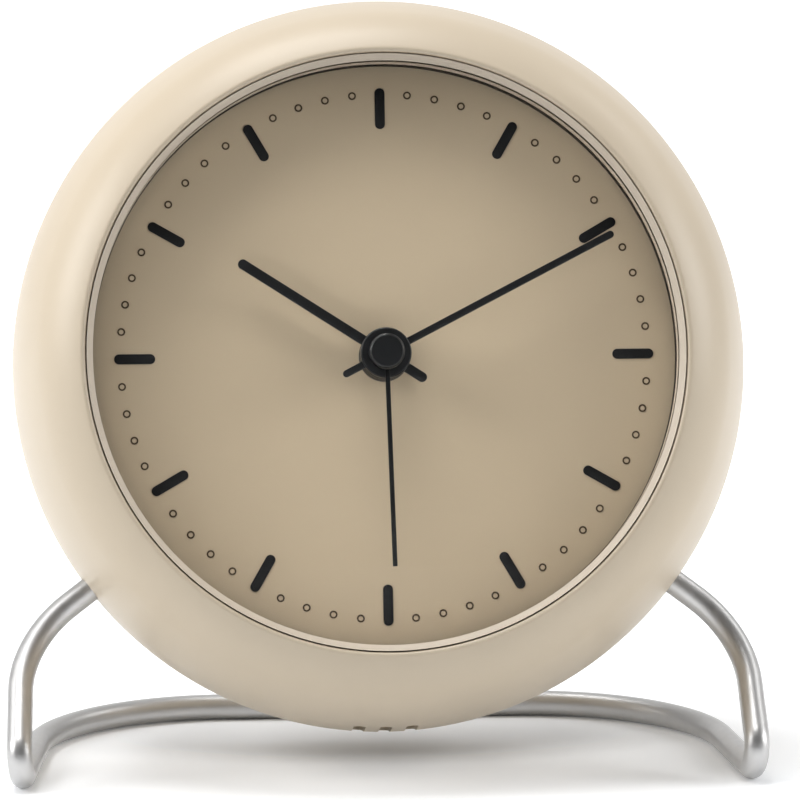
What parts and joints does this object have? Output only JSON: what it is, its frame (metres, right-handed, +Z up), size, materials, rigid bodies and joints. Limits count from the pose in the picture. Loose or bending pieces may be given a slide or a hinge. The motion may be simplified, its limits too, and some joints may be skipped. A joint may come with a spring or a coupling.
{
  "type": "table clock",
  "caption": "Round domed desk alarm clock with plain baton markers and bar hands, leaning back in a bent steel wire stand.",
  "frame": {"origin": "middle of the clock's outline on the table top, under the case", "axes": "+X to the right as seen from the front, +Y to the back, +Z up; the dial faces -Y and leans back 16.5 degrees"},
  "size_m": [0.114, 0.0692, 0.1134],
  "materials": {
    "case": "satin",
    "crystal": "gloss",
    "dial": "satin",
    "marks": "matte",
    "hands": "satin",
    "wire": "satin",
    "frame": "matte",
    "movement": "matte",
    "wheels": "matte",
    "cannon": "satin",
    "magnet": "matte",
    "lamination": "matte",
    "winding": "satin",
    "board": "satin",
    "plated": "satin",
    "cell": "satin",
    "stems": "satin",
    "controls": "satin"
  },
  "bodies": {
    "clock": {"case_shell": "case", "back_cover": "case", "crystal": "crystal", "dial": "dial", "hour_batons": "marks", "minute_rings": "marks", "inner_frame": "frame", "dial_nut": "hands", "stand_wire": "wire", "movement_front": "movement", "movement_case": "movement", "stator": "lamination", "coil": "winding", "circuit_board": "board", "quartz_can": "plated", "sounder": "magnet", "battery_tray": "movement", "battery": "cell", "positive_contact": "plated", "negative_contact": "plated", "cover_screws": "stems", "frame_screws": "stems"},
    "seconds": {"second_hand": "hands", "hub_cap": "hands", "second_wheel": "wheels"},
    "intermediate": {"intermediate_wheel": "wheels"},
    "rotor": {"rotor": "magnet"},
    "third": {"third_wheel": "wheels"},
    "minute_drive": {"minute_wheel": "wheels"},
    "minutes": {"minute_hand": "hands", "cannon_pinion": "cannon"},
    "motion": {"motion_wheel": "wheels"},
    "hours": {"hour_hand": "hands", "hour_wheel": "wheels"},
    "time_setter": {"time_stem": "stems", "time_knob": "controls"},
    "alarm_setter": {"alarm_stem": "stems", "alarm_knob": "controls"},
    "alarm": {"alarm_hand": "hands", "alarm_wheel": "wheels"},
    "alarm_switch": {"alarm_switch": "controls"},
    "battery_door": {"battery_door": "case"}
  },
  "joints": [
    {"name": "second_hand_spin", "type": "hinge", "parent": "clock", "child": "seconds", "pos_m": [0, 0, 0.0589], "axis": [0, 0.9588, -0.284], "continuous": true},
    {"name": "intermediate_spin", "type": "hinge", "parent": "clock", "child": "intermediate", "pos_m": [0.0054, -0.00266, 0.04993], "axis": [0, 0.9588, -0.284], "continuous": true},
    {"name": "rotor_spin", "type": "hinge", "parent": "clock", "child": "rotor", "pos_m": [0.01217, -0.00336, 0.04757], "axis": [0, 0.9588, -0.284], "continuous": true},
    {"name": "third_spin", "type": "hinge", "parent": "clock", "child": "third", "pos_m": [-0.00935, -0.00153, 0.05372], "axis": [0, 0.9588, -0.284], "continuous": true},
    {"name": "minute_wheel_spin", "type": "hinge", "parent": "clock", "child": "minute_drive", "pos_m": [0, 0, 0.0589], "axis": [0, 0.9588, -0.284], "continuous": true},
    {"name": "minute_hand_spin", "type": "hinge", "parent": "clock", "child": "minutes", "pos_m": [0, 0, 0.0589], "axis": [0, 0.9588, -0.284], "continuous": true},
    {"name": "motion_spin", "type": "hinge", "parent": "clock", "child": "motion", "pos_m": [-0.00287, 0.00224, 0.06647], "axis": [0, 0.9588, -0.284], "continuous": true},
    {"name": "hour_hand_spin", "type": "hinge", "parent": "clock", "child": "hours", "pos_m": [0, 0, 0.0589], "axis": [0, 0.9588, -0.284], "continuous": true},
    {"name": "time_knob_spin", "type": "hinge", "parent": "clock", "child": "time_setter", "pos_m": [-0.01127, 0.00224, 0.06647], "axis": [0, 0.9588, -0.284], "continuous": true},
    {"name": "alarm_knob_spin", "type": "hinge", "parent": "clock", "child": "alarm_setter", "pos_m": [0.00934, 0.00186, 0.06517], "axis": [0, 0.9588, -0.284], "continuous": true},
    {"name": "alarm_hand_spin", "type": "hinge", "parent": "clock", "child": "alarm", "pos_m": [0, 0, 0.0589], "axis": [0, 0.9588, -0.284], "continuous": true},
    {"name": "alarm_switch_slide", "type": "slide", "parent": "clock", "child": "alarm_switch", "axis": [1, 0, 0], "range_m": [0, 0.004]},
    {"name": "battery_door_slide", "type": "slide", "parent": "clock", "child": "battery_door", "axis": [0, 0.9588, -0.284], "range_m": [0, 0.012]}
  ],
  "couplings": [
    {"joint": "intermediate_spin", "follows": "second_hand_spin", "ratio": -6},
    {"joint": "rotor_spin", "follows": "second_hand_spin", "ratio": 30},
    {"joint": "third_spin", "follows": "second_hand_spin", "ratio": -0.13333},
    {"joint": "minute_wheel_spin", "follows": "second_hand_spin", "ratio": 0.016667},
    {"joint": "motion_spin", "follows": "minute_hand_spin", "ratio": -0.33333},
    {"joint": "hour_hand_spin", "follows": "minute_hand_spin", "ratio": 0.083333},
    {"joint": "time_knob_spin", "follows": "minute_hand_spin", "ratio": 1},
    {"joint": "alarm_hand_spin", "follows": "alarm_knob_spin", "ratio": -0.66667}
  ]
}
